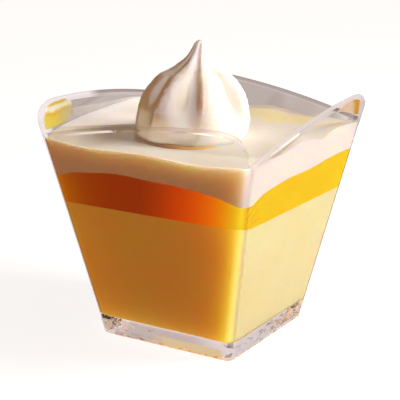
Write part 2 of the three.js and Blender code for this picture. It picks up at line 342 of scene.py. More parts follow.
def make_stations():
    """Stations round the cup, counter-clockwise from above and closer together near the corners."""
    cup = bpy.context.scene.dessert_cup
    half_arc = cup.corner * QUARTER / 2
    straight = 2 * (cup.mouth_half - cup.corner)
    length = straight + 2 * half_arc
    wall = []
    for step in range(CORNER_STEPS):
        part = step / CORNER_STEPS
        wall.append((-1, -QUARTER * (1.5 - part / 2), part * half_arc / length))
    for step in range(WALL_STEPS + 1):
        along = -math.cos(math.pi * step / WALL_STEPS)
        wall.append((along, -QUARTER, (half_arc + straight * (along + 1) / 2) / length))
    for step in range(1, CORNER_STEPS):
        part = step / CORNER_STEPS
        wall.append((1, -QUARTER * (1 - part / 2), 1 - (1 - part) * half_arc / length))
    return [Station(*entry, quarter) for quarter in range(4) for entry in wall]


def square_point(station, half, radius, z):
    """The point of a rounded square at one station."""
    reach = half - radius
    x = reach * station.along + radius * math.cos(station.turn)
    y = -reach + radius * math.sin(station.turn)
    return Matrix.Rotation(station.quarter * QUARTER, 3, "Z") @ Vector((x, y, z))


def square_ring(stations, half, radius, z):
    return [square_point(station, half, radius, z) for station in stations]


def fillet_rings(stations, into_wall=0.0):
    """Rings of the rounding between floor and wall, from the floor up, pushed out into the cup."""
    cup = bpy.context.scene.dessert_cup
    height = cup.floor + cup.fillet
    half = inner_half(height) - cup.fillet
    radius = cup.inner_corner - cup.fillet
    reach = cup.fillet + into_wall
    rings = []
    for step in range(FILLET_STEPS, -1, -1):
        angle = QUARTER * step / FILLET_STEPS
        out = reach * math.cos(angle)
        rings.append(square_ring(stations, half + out, radius + out, height - reach * math.sin(angle)))
    return rings


def rim_rings(stations):
    """The rounded rim, from the outer face over to the inner face."""
    cup = bpy.context.scene.dessert_cup
    bead = cup.wall / 2
    rings = []
    for step in range(RIM_STEPS + 1):
        angle = math.pi * step / RIM_STEPS
        swing = (cup.corner - cup.inner_corner) / 2 * math.cos(angle)
        radius = (cup.corner + cup.inner_corner) / 2 + swing
        ring = []
        for station in stations:
            centre = cup.rim_low + rim_lift(station.share) - bead
            half = outer_half(centre) - bead + bead * math.cos(angle)
            ring.append(square_point(station, half, radius, centre + bead * math.sin(angle)))
        rings.append(ring)
    return rings


def wall_ring(stations, drop, inside):
    """A ring on a wall's outer or inner face, a little below the rounded rim."""
    cup = bpy.context.scene.dessert_cup
    half, radius = (inner_half, cup.inner_corner) if inside else (outer_half, cup.corner)
    ring = []
    for station in stations:
        z = cup.rim_low + rim_lift(station.share) - cup.wall / 2 - drop
        ring.append(square_point(station, half(z), radius, z))
    return ring


def sum_bumps(x, y, bumps):
    return sum(b.height * math.exp(-(((x - b.x) ** 2 + (y - b.y) ** 2) / b.spread**2)) for b in bumps)


def jelly_bottom(x, y):
    tilt = JELLY_BOTTOM_TILT[0] * x + JELLY_BOTTOM_TILT[1] * y
    return bpy.context.scene.dessert_filling.jelly_bottom + tilt + sum_bumps(x, y, JELLY_BOTTOM_LIFT)


def jelly_top(x, y):
    waves = sum(wave.height * math.sin(wave.x * x + wave.y * y + wave.phase) for wave in JELLY_WAVES)
    level = bpy.context.scene.dessert_filling.jelly_top + JELLY_TOP_TILT * y
    return level + waves + sum_bumps(x, y, JELLY_SAGS)


def cream_top(x, y):
    """The white layer's top, with a thin lip where it wets the wall."""
    filling = bpy.context.scene.dessert_filling
    half = inner_half(filling.fill_level)
    outward = min(1, (x * x + y * y) / (half * half))
    ripple = filling.fill_ripple * outward * math.cos(FILL_WAVE[0] * x + FILL_WAVE[1] * (y + half))
    side = FILL_LEFT if x < 0 else FILL_RIGHT
    climb = side.climb * abs(x / half) ** FILL_WALL_POWER * (1 - side.fade * abs(y / half) ** side.power)
    dip = FILL_FRONT_DIP * abs(y / half) ** FILL_WALL_POWER if y < 0 else 0
    to_wall = max(0, half - max(abs(x), abs(y)))
    lip = filling.meniscus * math.exp(-to_wall / LIP_REACH)
    dimple = DIMPLE_HEIGHT * noise.noise(Vector((x, y, 0)) / DIMPLE_SIZE)
    return filling.fill_level + ripple + climb + dip + sum_bumps(x, y, FILL_LAPS) + lip + dimple


def edge_ring(stations, height_at, lift, into_wall):
    """The ring where an uneven surface of the filling meets the wall."""
    radius = bpy.context.scene.dessert_cup.inner_corner + into_wall
    nominal = height_at(0, 0)
    ring = []
    for station in stations:
        first = square_point(station, inner_half(nominal) + into_wall, radius, nominal)
        z = height_at(first.x, first.y) + lift
        ring.append(square_point(station, inner_half(z) + into_wall, radius, z))
    return ring


def surface_rings(edge, height_at, lift):
    """Rings from just inside an edge to near the middle, closer together near the edge."""
    rings = []
    for step in range(1, SURFACE_STEPS):
        share = 1 - (step / SURFACE_STEPS) ** SURFACE_CROWD
        flat = [(p.x * share, p.y * share) for p in edge]
        rings.append([Vector((x, y, height_at(x, y) + lift)) for x, y in flat])
    return rings


def wall_rings(lower, upper):
    """Rings up a wall, between two edges and with both of them."""
    steps = [lower]
    for step in range(1, EDGE_STEPS):
        share = (1 - math.cos(math.pi * step / EDGE_STEPS)) / 2
        steps.append([low.lerp(high, share) for low, high in zip(lower, upper)])
    return [*steps, upper]


def smooth_step(value, low, high):
    t = min(max((value - low) / (high - low), 0), 1)
    return t * t * (3 - 2 * t)


def between(a, b, c, d, t):
    """A smooth curve from b to c, which comes from a and goes on to d."""
    into, out = (c - a) / 2, (d - b) / 2
    return (2 * b - 2 * c + into + out) * t**3 + (3 * c - 3 * b - 2 * into - out) * t**2 + into * t + b


def smooth_loop(points, steps):
    """A closed smooth curve through some points, as a list of points."""
    loop = []
    for number in range(len(points)):
        near = [Vector(points[(number + i) % len(points)]) for i in (-1, 0, 1, 2)]
        loop += [between(*near, step / steps) for step in range(steps)]
    return loop


def kiss_outline(share):
    """Radius and height of the meringue's side view, where share runs from 0 to 1 up the curve."""
    last = len(KISS_OUTLINE) - 1
    at = share * last
    near = (KISS_OUTLINE[min(max(int(at) + i, 0), last)] for i in (-1, 0, 1, 2))
    return [max(0, between(*values, at - int(at))) * MM for values in zip(*near)]


def piping_wobble(place, way, up, wave):
    """Small unevenness left by the piping, and fine tears along the crests."""
    outward = Vector((math.cos(way), math.sin(way), 0))
    soft = WOBBLE * noise.noise(place / WOBBLE_SIZE)
    crest = max(0, 1 - wave / TEAR_WIDTH) * smooth_step(up, *TEAR_RISE) * (1 - smooth_step(up, *TEAR_FALL))
    tear = TEAR * crest * noise.noise(place / TEAR_SIZE)
    low, high = WOBBLE_EASE
    return outward * (soft + tear - WOBBLE / 2) * min(1, low * up) * min(1, high * (1 - up))


# Modelling helpers.


def loft(name, rings, close_end=True, mark=None, marks=()):
    """Draws a closed body up out of a disc, one extrusion for each ring, which may carry a mark."""
    bpy.ops.object.select_all(action="DESELECT")
    bpy.ops.mesh.primitive_circle_add(vertices=len(rings[0]), radius=DISC_RADIUS, fill_type="NGON")
    piece = bpy.context.object
    piece.name = name
    piece.data.name = name
    bpy.ops.object.mode_set(mode="EDIT")
    body = bmesh.from_edit_mesh(piece.data)
    layer = body.verts.layers.int.new("station")
    for number, vert in enumerate(body.verts):
        vert[layer] = number
    if mark:
        body.verts.layers.float.new(mark)
    place_ring(body, rings[0])
    for number, ring in enumerate(rings[1:], 1):
        bpy.ops.mesh.extrude_region_move()
        place_ring(body, ring, mark, marks[number] if mark else 0)
    if close_end:
        bpy.ops.mesh.merge(type="CENTER")
    bpy.ops.mesh.select_all(action="SELECT")
    bpy.ops.mesh.normals_make_consistent(inside=False)
    bpy.ops.object.mode_set(mode="OBJECT")
    piece.data.attributes.remove(piece.data.attributes["station"])
    bpy.ops.object.shade_smooth_by_angle(angle=SMOOTH_ANGLE)
    return piece


def place_ring(body, ring, mark=None, value=0):
    """Puts the selected ring of an open edit where it belongs."""
    layer = body.verts.layers.int["station"]
    marked = body.verts.layers.float.get(mark) if mark else None
    for vert in body.verts:
        if vert.select:
            vert.co = ring[vert[layer]]
            if marked:
                vert[marked] = value


def mark_places(piece, name, measure):
    """Keeps on each vertex what a measure says of its place."""
    attribute = piece.data.attributes.new(name, "FLOAT", "POINT")
    for vert, entry in zip(piece.data.vertices, attribute.data):
        entry.value = measure(*vert.co)


def mark_depth(piece, below=None, above=None):
    """Marks how deep in its layer each place lies: 0 at a seam, and 1 away from the seams."""

    def depth(x, y, z):
        ways = [z - below(x, y)] if below else []
        if above:
            ways.append(above(x, y) - z)
        return smooth_step(min(ways), 0, SEAM_REACH)

    mark_places(piece, "depth", depth)


def mark_below(piece, above):
    """Marks how far each place lies below the layer's top."""
    mark_places(piece, "below", lambda x, y, z: above(x, y) - z)


def finish_piece(piece, material, slot, *replaced):
    """Gives a piece its material and its place in the frame."""
    piece.data.materials.clear()
    piece.data.materials.append(material)
    if replaced:
        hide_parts(*replaced)
    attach(piece, "root")


class Nodes:
    """Short ways to add nodes to one tree. A value is a socket, a number or a tuple."""

    def __init__(self, tree):
        self.tree = tree

    def add(self, kind, **settings):
        node = self.tree.nodes.new("ShaderNode" + kind)
        for name, value in settings.items():
            setattr(node, name, value)
        return node

    def plug(self, socket, value):
        if isinstance(value, bpy.types.NodeSocket):
            self.tree.links.new(value, socket)
        else:
            socket.default_value = (*value, 1.0) if socket.type == "RGBA" else value

    def set(self, node, **values):
        for name, value in values.items():
            self.plug(node.inputs[name.replace("_", " ")], value)
        return node

    def math(self, operation, *values):
        """One Math operation over any number of values, taken in order."""
        result, *others = values
        for value in others or [0]:
            node = self.add("Math", operation=operation)
            self.plug(node.inputs[0], result)
            self.plug(node.inputs[1], value)
            result = node.outputs["Value"]
        return result

    def times(self, *values):
        return self.math("MULTIPLY", *values)

    def plus(self, *values):
        return self.math("ADD", *values)

    def minus(self, first, second):
        return self.math("SUBTRACT", first, second)

    def most(self, *values):
        return self.math("MAXIMUM", *values)

    def vector(self, operation, first, second):
        node = self.add("VectorMath", operation=operation)
        self.plug(node.inputs[0], first)
        self.plug(node.inputs[1], second)
        return node.outputs["Value" if operation == "DOT_PRODUCT" else "Vector"]

    def mix(self, mask, first, second):
        """A colour that runs from one to another where the mask goes from 0 to 1."""
        mix = self.add("Mix", data_type="RGBA")
        for number, value in ((0, mask), (6, first), (7, second)):
            self.plug(mix.inputs[number], value)
        return mix.outputs[2]

    def ramp(self, value, low, high, kind="SMOOTHSTEP", **ends):
        """A mask that goes from 0 to 1, or between other ends, while a value goes from low to high."""
        step = self.add("MapRange", interpolation_type=kind)
        return self.set(step, Value=value, From_Min=low, From_Max=high, **ends).outputs["Result"]

    def rise(self, value, low, high):
        """The same for a length, from low to high in millimetres."""
        return self.ramp(value, low * MM, high * MM)

    def noise(self, **inputs):
        return self.set(self.add("TexNoise"), **inputs).outputs["Fac"]

    def place(self):
        return self.add("TexCoord").outputs["Object"]

    def split(self, vector):
        return self.set(self.add("SeparateXYZ"), Vector=vector).outputs

    def axes(self):
        return self.split(self.place())

    def normal(self):
        return self.add("NewGeometry").outputs["Normal"]

    def attribute(self, name):
        return self.add("Attribute", attribute_name=name).outputs["Fac"]

    def group(self, name, **values):
        """The outputs of a shared group, which is built when it is first asked for."""
        if name not in bpy.data.node_groups:
            build, *sides = GROUPS[name]
            tree = bpy.data.node_groups.new(name, "ShaderNodeTree")
            for way, sockets in zip(("INPUT", "OUTPUT"), sides):
                for socket, kind in sockets.items():
                    tree.interface.new_socket(socket, in_out=way, socket_type="NodeSocket" + kind)
            build(Nodes(tree), tree.nodes.new("NodeGroupInput").outputs, tree.nodes.new("NodeGroupOutput"))
        return self.set(self.add("Group", node_tree=bpy.data.node_groups[name]), **values).outputs

    def mottle(self, patch_size, grain_size):
        """Patches and grain of these sizes in millimetres."""
        scales = {"Patch_Scale": 1 / (patch_size * MM), "Grain_Scale": 1 / (grain_size * MM)}
        values = self.group("Soft Mottle", **scales)
        return values["Patches"], values["Grain"]


def build_mottle(nodes, inputs, outputs):
    """Soft patches and a fine grain, for everything that is set, baked or whipped."""
    place = nodes.place()
    patches = nodes.noise(Vector=place, Scale=inputs["Patch Scale"], Detail=3.0, Roughness=0.55)
    grain = nodes.noise(Vector=place, Scale=inputs["Grain Scale"], Detail=2.0, Roughness=0.6)
    nodes.set(outputs, Patches=nodes.ramp(patches, 0.32, 0.68, "LINEAR"), Grain=grain)


def build_places(nodes, inputs, outputs):
    """How far a point of the filling lies from the side walls and the floor, and what faces front."""
    cup = bpy.context.scene.dessert_cup
    axes = nodes.axes()
    widening = nodes.times(axes["Z"], (cup.mouth_half - cup.foot_half) / cup.rim_low)
    half = nodes.plus(widening, cup.foot_half - cup.wall)
    nodes.set(
        outputs,
        From_Right=nodes.minus(half, axes["X"]),
        From_Left=nodes.plus(half, axes["X"]),
        From_Floor=nodes.minus(axes["Z"], cup.floor),
        Front=nodes.ramp(nodes.split(nodes.normal())["Y"], -0.35, -0.85),
    )


def build_soaked(nodes, inputs, outputs):
    """Painted light that fades with a distance, at its own pace for red, green and blue."""
    share = nodes.split(nodes.vector("DIVIDE", inputs["Distance"], inputs["Reach"]))
    fades = {axis: nodes.math("POWER", 1 / math.e, share[axis]) for axis in "XYZ"}
    fade = nodes.set(nodes.add("CombineXYZ"), **fades).outputs["Vector"]
    nodes.set(outputs, Light=nodes.vector("MULTIPLY", fade, inputs["Strength"]))


# Shared groups: what builds each, and the kinds of its inputs and its outputs.
GROUPS = {
    "Soft Mottle": (
        build_mottle,
        {"Patch Scale": "Float", "Grain Scale": "Float"},
        {"Patches": "Float", "Grain": "Float"},
    ),
    "Cup Places": (
        build_places,
        {},
        {"From Right": "Float", "From Left": "Float", "From Floor": "Float", "Front": "Float"},
    ),
    "Soaked Light": (
        build_soaked,
        {"Distance": "Float", "Strength": "Vector", "Reach": "Vector"},
        {"Light": "Color"},
    ),
}


# Materials.


def new_material(name, glow=0.0):
    """A material with its nodes and its surface shader, which may carry a glow: painted light for the food,
    an even brightness for the floor.
    """
    material = bpy.data.materials.new(name)
    material.use_nodes = True
    nodes = Nodes(material.node_tree)
    nodes.tree.nodes.clear()
    surface = nodes.add("BsdfPrincipled")
    nodes.set(nodes.add("OutputMaterial", name="Output"), Surface=surface.outputs["BSDF"])
    if glow:
        nodes.set(surface, Emission_Strength=glow)
        material.cycles.emission_sampling = "NONE"
    return material, nodes, surface


def tinted(tint, *shares):
    return [channel * share for channel, share in zip(tint, shares)]


def add_bump(nodes, surface, height, depth):
    """Relief of a depth in millimetres."""
    bump = nodes.set(nodes.add("Bump"), Distance=depth * MM, Height=height, Strength=1.0)
    nodes.set(surface, Normal=bump.outputs["Normal"])


def soak_light(nodes, surface, radius, ior):
    """Light that soaks in, by a radius in millimetres for red, green and blue."""
    nodes.set(surface, Subsurface_Weight=1.0, Subsurface_Radius=radius, Subsurface_Scale=MM)
    nodes.set(surface, Specular_IOR_Level=0.3, IOR=ior)
    surface.subsurface_method = "RANDOM_WALK"


def set_layer(nodes, surface, grain, depth, side, top, radius):
    """What the layers share: grain, rougher sides than tops, and light that soaks in less at a seam."""
    add_bump(nodes, surface, grain, depth)
    upright = nodes.split(nodes.normal())["Z"]
    nodes.set(surface, Roughness=nodes.ramp(upright, *TURNED_UP, "LINEAR", To_Min=side, To_Max=top))
    soak_light(nodes, surface, radius, 1.36)
    scale = nodes.ramp(nodes.attribute("depth"), 0.0, 1.0, "LINEAR", To_Min=0.02 * MM, To_Max=MM)
    nodes.set(surface, Subsurface_Scale=scale)


def soaked_light(nodes, places, even, *soaks):
    """Painted glow on the front face, standing in for light that comes back out: an even share, and more near
    the lit walls.

    Each soak has a distance, and a strength and a reach in millimetres for red, green and blue.
    """
    total = even
    for distance, strength, reach in soaks:
        reach = [channel * MM for channel in reach]
        light = nodes.group("Soaked Light", Distance=distance, Strength=strength, Reach=reach)
        total = nodes.vector("ADD", total, light["Light"])
    return nodes.vector("MULTIPLY", total, places["Front"])


def from_edge(nodes, places, right, below):
    """A distance that grows away from the right wall and below the layer's top, at these rates."""
    return nodes.plus(nodes.times(places["From Right"], right), nodes.times(nodes.attribute("below"), below))


def yellow_material():
    material, nodes, surface = new_material("Yellow panna cotta", glow=1.0)
    tint = bpy.context.scene.dessert_finish.yellow
    patches, grain = nodes.mottle(14, 0.8)
    places = nodes.group("Cup Places")
    lit = nodes.mix(patches, tint, tinted(tint, 0.98, 0.96, 0.86))
    # Painted shade: the front face takes a darker, deeper copy of the colour.
    base = nodes.mix(places["Front"], lit, tinted(tint, 1, 0.90, 0.70))
    set_layer(nodes, surface, grain, 0.02, 0.9, 0.45, (4.5, 2.3, 0.7))
    # Painted light: a glow on the front face, more near the lit right wall, the layer's top, the left wall
    # and the floor.
    light = soaked_light(
        nodes,
        places,
        nodes.mix(patches, (0.072, 0.026, 0.0), (0.100, 0.008, 0.0)),
        (places["From Right"], (0.52, 0.84, 0.35), (5.5, 2.4, 0.8)),
        (from_edge(nodes, places, 1.0, 1.5), (0.42, 0.16, 0.0), (8.0, 7.0, 1.0)),
        (places["From Left"], (0.09, 0.04, 0.0), (7.0, 8.0, 1.0)),
        (places["From Floor"], (0.23, 0.17, 0.02), (3.0, 3.0, 3.0)),
    )
    # Painted light: a pale glow along the underside, for light from the floor.
    pale = nodes.mix(nodes.rise(places["From Floor"], 0.3, 0.0), light, (0.70, 0.58, 0.50))
    nodes.set(surface, Base_Color=base, Emission_Color=pale)
    return material


def jelly_material():
    """Clear fruit jelly: pale on its lit faces, with a painted shade of deep orange on the front face and a
    painted glow for light coming through.
    """
    material, nodes, surface = new_material("Fruit jelly", glow=1.0)
    tint = bpy.context.scene.dessert_finish.jelly
    patches, grain = nodes.mottle(9, 1.2)
    places = nodes.group("Cup Places")
    right = places["From Right"]
    lit = nodes.mix(patches, tint, tinted(tint, 1, 0.93, 0.8))
    lit = nodes.mix(thread_mask(nodes), lit, tinted(tint, 0.9, 0.72, 1))
    # Painted shade for the front face, deeper away from the lit right wall.
    deep = nodes.ramp(right, 3 * MM, 32 * MM, "LINEAR")
    shaded = nodes.mix(deep, (0.95, 0.40, 0.01), (0.70, 0.19, 0.004))
    set_layer(nodes, surface, grain, 0.02, 0.8, 0.2, (5.0, 2.5, 0.3))
    # Painted light: a glow on the front face, stronger near the lit walls.
    light = soaked_light(
        nodes,
        places,
        nodes.mix(nodes.rise(right, 34, 6), (0.05, 0.0, 0.0), (0.55, 0.0, 0.0)),
        (right, (0.0, 0.72, 0.03), (1.0, 4.9, 2.0)),
        (places["From Left"], (0.22, 0.10, 0.0), (5.0, 5.5, 3.0)),
    )
    nodes.set(surface, Base_Color=nodes.mix(places["Front"], lit, shaded), Emission_Color=light)
    return material


def thread_mask(nodes):
    """Fine pulp threads that fan out in the jelly from the foot of the front corner."""
    axes = nodes.axes()
    along = nodes.plus(axes["Y"], 31.0 * MM)
    up = nodes.minus(axes["Z"], 41.5 * MM)
    away = nodes.math("POWER", nodes.plus(nodes.times(along, along), nodes.times(up, up)), 0.5)
    wander = nodes.noise(Vector=nodes.place(), Scale=1 / (2.5 * MM), Detail=1.0)
    turn = nodes.plus(nodes.math("ARCTAN2", up, along), nodes.times(wander, 0.35))
    thread = nodes.ramp(nodes.math("SINE", nodes.times(turn, 19.0)), 0.55, 1.0)
    return nodes.times(thread, nodes.rise(away, 2, 4), nodes.rise(away, 11, 7), nodes.rise(axes["X"], 20, 27))


def cream_material():
    material, nodes, surface = new_material("White panna cotta", glow=1.0)
    finish = bpy.context.scene.dessert_finish
    tint, shaded_top = finish.cream, finish.cream_top
    patches, grain = nodes.mottle(12, 0.7)
    upward = nodes.ramp(nodes.split(nodes.normal())["Z"], *TURNED_UP, "LINEAR")
    side = nodes.mix(patches, tint, tinted(tint, 1, 0.985, 0.96))
    # Painted shade: the upward faces take the darker, yellower top colour.
    top = nodes.mix(patches, shaded_top, tinted(shaded_top, 0.99, 0.965, 0.91))
    # The yellow band along the back wall.
    top = nodes.mix(back_band_mask(nodes, patches), top, finish.back_band)
    set_layer(nodes, surface, grain, 0.03, 0.9, 0.38, (4.0, 2.3, 0.9))
    places = nodes.group("Cup Places")
    # Painted light: a glow on the front face near the lit right wall and the top, and on the top itself.
    light = soaked_light(
        nodes,
        places,
        (0.0, 0.0, 0.018),
        (places["From Right"], (0.40, 0.52, 0.82), (4.0, 2.1, 1.0)),
        (from_edge(nodes, places, 0.085, 1.0), (0.35, 0.42, 0.50), (3.0, 2.0, 1.0)),
    )
    light = nodes.vector("ADD", light, top_light(nodes, upward))
    nodes.set(surface, Base_Color=nodes.mix(upward, side, top), Emission_Color=light)
    return material


def back_band_mask(nodes, patches):
    """A yellow band on the cream's top along the back wall, with an uneven front."""
    axes = nodes.axes()
    front = nodes.plus(axes["Y"], nodes.times(patches, 5 * MM))
    near, far = nodes.rise(front, 22.5, 25.5), nodes.rise(axes["Y"], 30.5, 28.0)
    return nodes.times(near, far, nodes.rise(axes["X"], -4, 1), 0.85)


def top_light(nodes, upward):
    """Painted light in the cream's top, where it is seen over the near rim or through the right wall, which
    also lightens the meringue's shadow there.
    """
    axes = nodes.axes()
    seen = nodes.minus(1.0, nodes.add("LightPath").outputs["Is Diffuse Ray"])
    seen = nodes.times(seen, upward)

    def along(x, y, z, shift):
        parts = (nodes.times(axes[axis], share) for axis, share in zip("XYZ", (x, y, z)))
        return nodes.plus(*parts, shift * MM)

    left = nodes.times(seen, nodes.rise(along(*RIM_SIGHT), -0.1, 0.3), nodes.rise(axes["X"], -12, -24))
    shaded = nodes.times(left, nodes.rise(along(*SHADOW_WAY), 23, 10), nodes.rise(axes["X"], -34, -25))
    right = nodes.times(seen, nodes.rise(along(*RIGHT_SIGHT), -2.6, -2.1))
    front = nodes.times(seen, nodes.rise(axes["Y"], -19.5, -22.5), nodes.rise(axes["X"], -20, -12))
    light = nodes.mix(left, BLACK, (0.08, 0.09, 0.15))
    light = nodes.mix(shaded, light, (0.38, 0.37, 0.36))
    light = nodes.mix(right, light, (0.28, 0.25, 0.22))
    return nodes.mix(front, light, (0.15, 0.15, 0.14))


def meringue_material():
    material, nodes, surface = new_material("Meringue", glow=1.0)
    tint = bpy.context.scene.dessert_finish.meringue
    patches, grain = nodes.mottle(6, 0.45)
    add_bump(nodes, surface, grain, 0.05)
    soak_light(nodes, surface, (1.6, 1.2, 0.9), 1.4)
    height = nodes.axes()["Z"]
    normal = nodes.normal()

    def toward(way, low, high):
        return nodes.ramp(nodes.vector("DOT_PRODUCT", normal, way), low, high)

    # Painted light: a glow on the crests, the foot and the tip where they face these ways.
    foot = nodes.times(toward(FOOT_WAY, 0.80, 0.98), nodes.rise(height, 68, 63))
    tip = nodes.times(toward(TIP_WAY, 0.84, 0.97), nodes.rise(height, 74, 80))
    light = nodes.mix(toward(CREST_WAY, 0.89, 0.99), BLACK, CREST_LIGHT)
    light = nodes.mix(foot, light, FOOT_LIGHT)
    light = nodes.mix(tip, light, TIP_LIGHT)
    base = nodes.mix(patches, tint, tinted(tint, 1, 0.975, 0.93))
    nodes.set(surface, Base_Color=base, Roughness=0.72, Emission_Color=light)
    return material


def syrup_material():
    """Thin syrup: brown painted shade at the shaded end, amber on the way and yellow painted light at the lit
    end, with a faint painted glow.
    """
    material, nodes, surface = new_material("Syrup", glow=1.0)
    finish = bpy.context.scene.dessert_finish
    tones = finish.syrup_painted_shade, finish.syrup_painted_light
    along = nodes.rise(nodes.axes()["X"], -3, 13)
    # Painted glow: a faint share of each end's colour.
    soaked = nodes.mix(along, *(tinted(tone, 0.12, 0.12, 0.12) for tone in tones))
    nodes.set(surface, Base_Color=nodes.mix(along, *tones), Emission_Color=soaked, Roughness=0.35, IOR=1.4)
    add_bump(nodes, surface, nodes.mottle(3, 0.6)[0], 0.05)
    return material


def film_material(name, look):
    """A thin sheet on the wall with a painted reflection, from what makes its colour and its cover."""
    material, nodes, surface = new_material(name)
    waver = nodes.times(nodes.minus(nodes.mottle(5, 1.5)[0], 0.5), MM)
    tone, cover = look(nodes, nodes.axes(), waver)
    nodes.set(surface, Base_Color=tone, Alpha=cover, Roughness=0.3)
    return material


def left_look(nodes, axes, waver):
    """Painted reflection of the filling, in streaks, thinner toward the low right."""
    thin = nodes.times(nodes.rise(axes["Y"], -27, -19), nodes.rise(axes["Z"], 66, 64))
    streak = nodes.add("ValToRGB")
    nodes.set(streak, Fac=nodes.ramp(nodes.plus(axes["Z"], waver), 61 * MM, 68 * MM, "LINEAR"))
    stops = streak.color_ramp.elements
    stops.remove(stops[1])
    stops[0].position, stops[0].color = STREAKS[0][0], (*STREAKS[0][1], 1.0)
    for position, value in STREAKS[1:]:
        stops.new(position).color = (*value, 1.0)
    tone = nodes.mix(thin, streak.outputs["Color"], (0.64, 0.58, 0.28))
    return tone, nodes.minus(0.95, nodes.times(thin, 0.35))


def right_look(nodes, axes, waver):
    """Painted reflection of the filling, with one thick spot."""
    across = nodes.plus(axes["Y"], nodes.times(axes["Z"], 0.5), -33.5 * MM, waver)
    thick = nodes.times(nodes.rise(across, 22.5, 26), nodes.rise(across, 30.5, 27.5))
    tone = nodes.mix(thick, (0.78, 0.61, 0.40), (0.62, 0.36, 0.035))
    return tone, nodes.plus(nodes.times(thick, 0.28), 0.6)


def cream_look(nodes, axes, waver):
    """A haze: painted reflection of the cream."""
    return (0.68, 0.65, 0.62), nodes.plus(nodes.times(waver, 100), 0.5)


def painted_base_reflections(nodes, axes, tint):
    """Painted reflections in the base: greyer on the left, with dark streaks, and yellow low down near the
    front corner.
    """
    low = nodes.rise(axes["Z"], 6.2, 5.4)
    right = nodes.rise(axes["X"], 19, 21)
    tone = nodes.mix(nodes.times(low, right), tint, BASE_RIGHT)
    tone = nodes.mix(nodes.times(low, nodes.rise(axes["X"], 20, 8)), tone, BASE_LEFT)
    along = nodes.plus(axes["X"], axes["Y"], nodes.times(axes["Z"], 1.2))
    place = nodes.set(nodes.add("CombineXYZ"), X=along, Y=nodes.times(axes["Z"], 2.0)).outputs["Vector"]
    streaks = nodes.noise(Vector=place, Scale=1 / (3.2 * MM), Detail=2.0, Distortion=1.2)
    shaded = nodes.times(nodes.rise(axes["X"], 6, -2), nodes.rise(axes["Z"], 4.2, 3.2))
    where = nodes.times(low, nodes.most(right, shaded))
    tone = nodes.mix(nodes.times(where, nodes.ramp(streaks, 0.59, 0.65)), tone, BASE_DARK)
    near = nodes.times(nodes.rise(axes["X"], -6, 3), nodes.rise(axes["X"], 20.5, 18))
    return nodes.mix(nodes.times(near, nodes.rise(axes["Z"], 3.9, 2.9)), tone, BASE_YELLOW)


def rim_masks(nodes, axes, shape, normal):
    """The thin rim, and the thin rim with the upper corners.

    Both reach lower for light that leaves a wall, so that it isn't caught inside.
    """
    leaving = shape["Backfacing"]
    sideways = nodes.times(normal["X"], normal["X"], 0.5 * MM)
    lower = nodes.times(leaving, nodes.plus(sideways, 0.6 * MM))
    rim = nodes.rise(nodes.minus(nodes.attribute("below_rim"), lower), 0.35, 0.12)
    wider = nodes.times(leaving, 1.5 * MM)
    apart = nodes.math("ABSOLUTE", nodes.plus(axes["X"], axes["Y"]))
    out = nodes.rise(nodes.plus(apart, wider), 62.5, 63.5)
    corner = nodes.times(out, nodes.rise(nodes.plus(axes["Z"], wider), 58.5, 60))
    return rim, nodes.most(rim, corner)


def rim_tone(nodes, axes, facing):
    """Painted colours of the rim: pale in front, grey at the back, and darker where it turns away."""
    line = nodes.ramp(facing, 0.3, 0.85)
    left = nodes.times(nodes.rise(axes["X"], -31, -32), nodes.rise(axes["Y"], -9, -2))
    far = nodes.most(nodes.rise(axes["Y"], 31.5, 32.5), left)
    return nodes.mix(far, nodes.mix(line, RIM_TINT, RIM_LINE), nodes.mix(line, RIM_FAR, RIM_SHADE))


def edge_mask(nodes, axes, normal, facing):
    """Where light goes straight through the walls: along their outline, and at the right back corner."""
    corner = nodes.times(
        nodes.ramp(facing, 0.40, 0.62),
        nodes.ramp(nodes.times(normal["X"], normal["Y"]), 0.01, 0.10),
        nodes.rise(axes["X"], 15, 19),
        nodes.rise(axes["Y"], 15, 19),
    )
    return nodes.most(nodes.ramp(facing, 0.66, 0.82), corner)


def cup_material():
    """Clear moulded plastic, which lets the light through to the filling."""
    material, nodes, surface = new_material("Clear cup")
    axes = nodes.axes()
    waviness = nodes.times(nodes.mottle(9, 4.2)[1], nodes.rise(axes["Z"], 7, 4.5))
    add_bump(nodes, surface, waviness, 0.9)
    # The base's colour paints its reflections.
    tone = painted_base_reflections(nodes, axes, bpy.context.scene.dessert_finish.glass)
    nodes.set(surface, Base_Color=tone, Roughness=0.015, IOR=1.57, Transmission_Weight=1.0)
    shape = nodes.add("NewGeometry").outputs
    normal = nodes.split(shape["Normal"])
    facing = nodes.add("LayerWeight").outputs["Facing"]
    path = nodes.add("LightPath").outputs
    rim, thin = rim_masks(nodes, axes, shape, normal)
    # The thin rim lets light through in painted colours.
    clear = nodes.add("BsdfTransparent")
    nodes.set(clear, Color=nodes.mix(thin, WHITE, rim_tone(nodes, axes, facing)))
    # Painted glow on the right wall's rim, for camera rays.
    rim_glow = nodes.set(nodes.add("Emission"), Color=RIM_GLOW)
    bloom = nodes.times(rim, path["Is Camera Ray"], nodes.rise(axes["X"], 30, 32), 0.6)
    through = nodes.most(
        path["Is Shadow Ray"],
        path["Is Diffuse Ray"],
        nodes.times(thin, RIM_CLEAR),
        nodes.times(edge_mask(nodes, axes, normal, facing), EDGE_CLEAR),
    )
    veil = mix_shaders(nodes, bloom, clear.outputs["BSDF"], rim_glow.outputs["Emission"])
    whole = mix_shaders(nodes, through, surface.outputs["BSDF"], veil)
    nodes.set(nodes.tree.nodes["Output"], Surface=whole)
    return material


def mix_shaders(nodes, mask, first, second):
    mix = nodes.add("MixShader")
    for socket, value in zip(mix.inputs, (mask, first, second)):
        nodes.plug(socket, value)
    return mix.outputs["Shader"]


